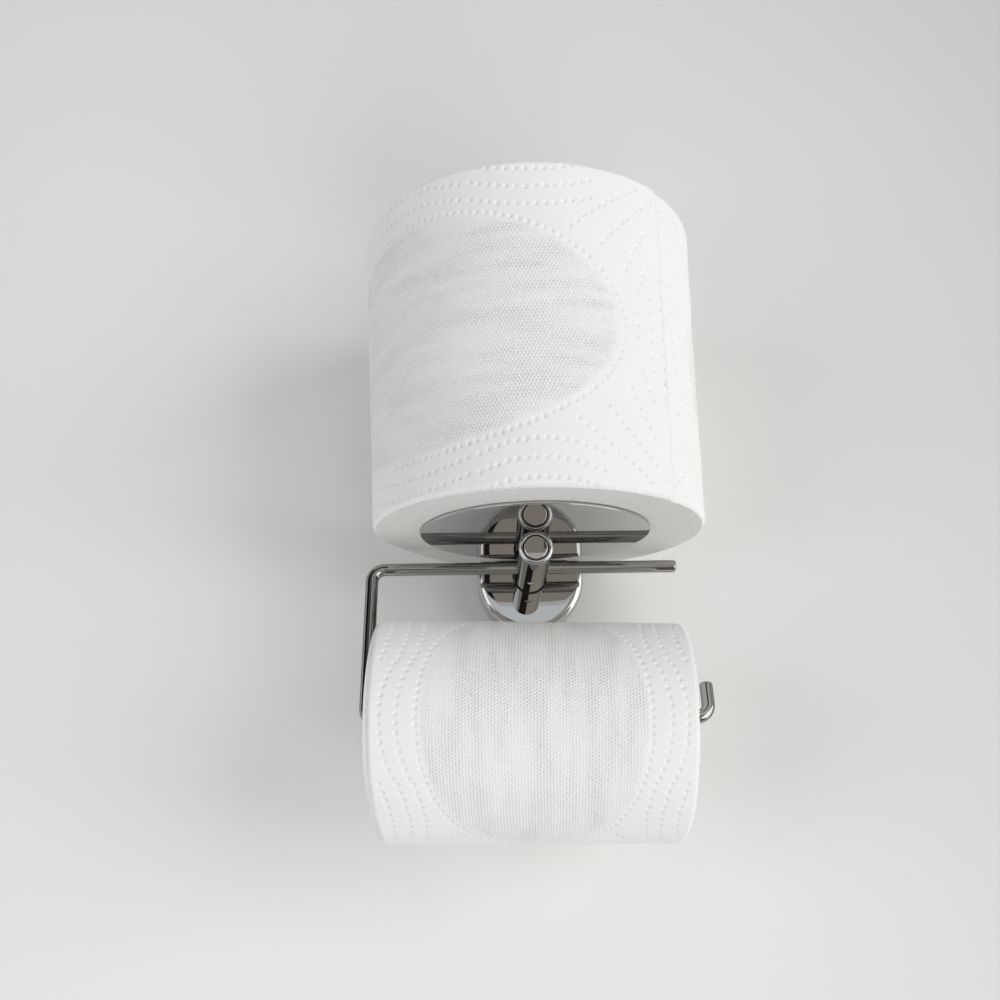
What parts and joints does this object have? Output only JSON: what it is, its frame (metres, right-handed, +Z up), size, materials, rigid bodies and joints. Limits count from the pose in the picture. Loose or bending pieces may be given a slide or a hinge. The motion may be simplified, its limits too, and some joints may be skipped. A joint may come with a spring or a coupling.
{
  "type": "double toilet roll holder",
  "caption": "Wall-mounted toilet roll holder: a bent wire bar for the roll in use and a round plate with an upright spindle for a spare roll.",
  "frame": {"origin": "middle of the wall disc's back face, on the wall and midway between the two wall screws", "axes": "+X to the right as seen by the user, +Y into the wall, +Z up; the holder stands out from the wall towards -Y"},
  "size_m": [0.1246, 0.1175, 0.2139],
  "materials": {
    "polished_chrome": "polished",
    "cast_metal": "satin",
    "screw_steel": "satin",
    "tissue": "matte"
  },
  "bodies": {
    "holder": {"wall_disc": "cast_metal", "rosette": "polished_chrome", "rosette_set_screw": "screw_steel", "post_screw": "screw_steel", "post_washer": "screw_steel", "post": "polished_chrome", "end_plug": "polished_chrome", "roll_bar": "polished_chrome", "bar_set_screw": "screw_steel", "spare_plate": "polished_chrome", "spindle": "polished_chrome", "spindle_nut": "screw_steel"},
    "roll_in_use": {"hanging_roll": "tissue"},
    "roll_in_store": {"spare_roll": "tissue"}
  },
  "joints": [
    {"name": "hanging_roll_turn", "type": "hinge", "parent": "holder", "child": "roll_in_use", "pos_m": [0, -0.05385, -0.06246], "axis": [1, 0, 0], "continuous": true},
    {"name": "spare_roll_lift", "type": "slide", "parent": "holder", "child": "roll_in_store", "axis": [0, 0, 1], "range_m": [0, 0.09]}
  ]
}
